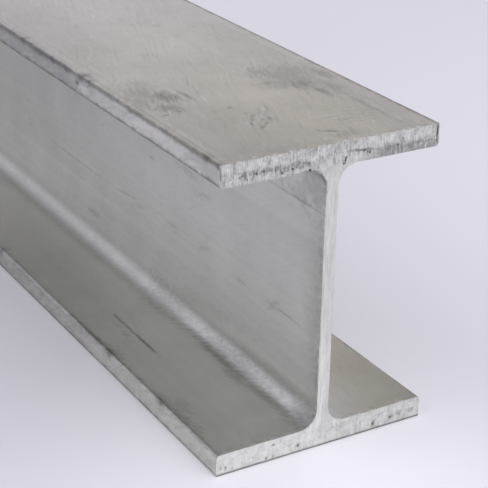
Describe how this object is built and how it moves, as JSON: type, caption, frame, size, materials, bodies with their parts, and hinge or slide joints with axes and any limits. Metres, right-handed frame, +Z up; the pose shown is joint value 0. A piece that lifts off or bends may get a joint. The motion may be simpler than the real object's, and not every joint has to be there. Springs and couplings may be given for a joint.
{
  "type": "aluminium i-beam",
  "caption": "Length of extruded aluminium I-beam with square flanges, filleted web roots and plain sawn ends.",
  "frame": {"origin": "under the middle of the bar, on the plane that the bottom flange rests on", "axes": "+Z up through the section's depth, +Y along the bar, +X across the flanges"},
  "size_m": [0.0762, 0.6096, 0.1016],
  "materials": {
    "mill_aluminium": "mill finish, as extruded: dull satin with lengthwise die lines, handling scratches and stains, and freshly sawn bright ends"
  },
  "bodies": {
    "root": {"i_beam": "mill_aluminium"}
  },
  "joints": []
}
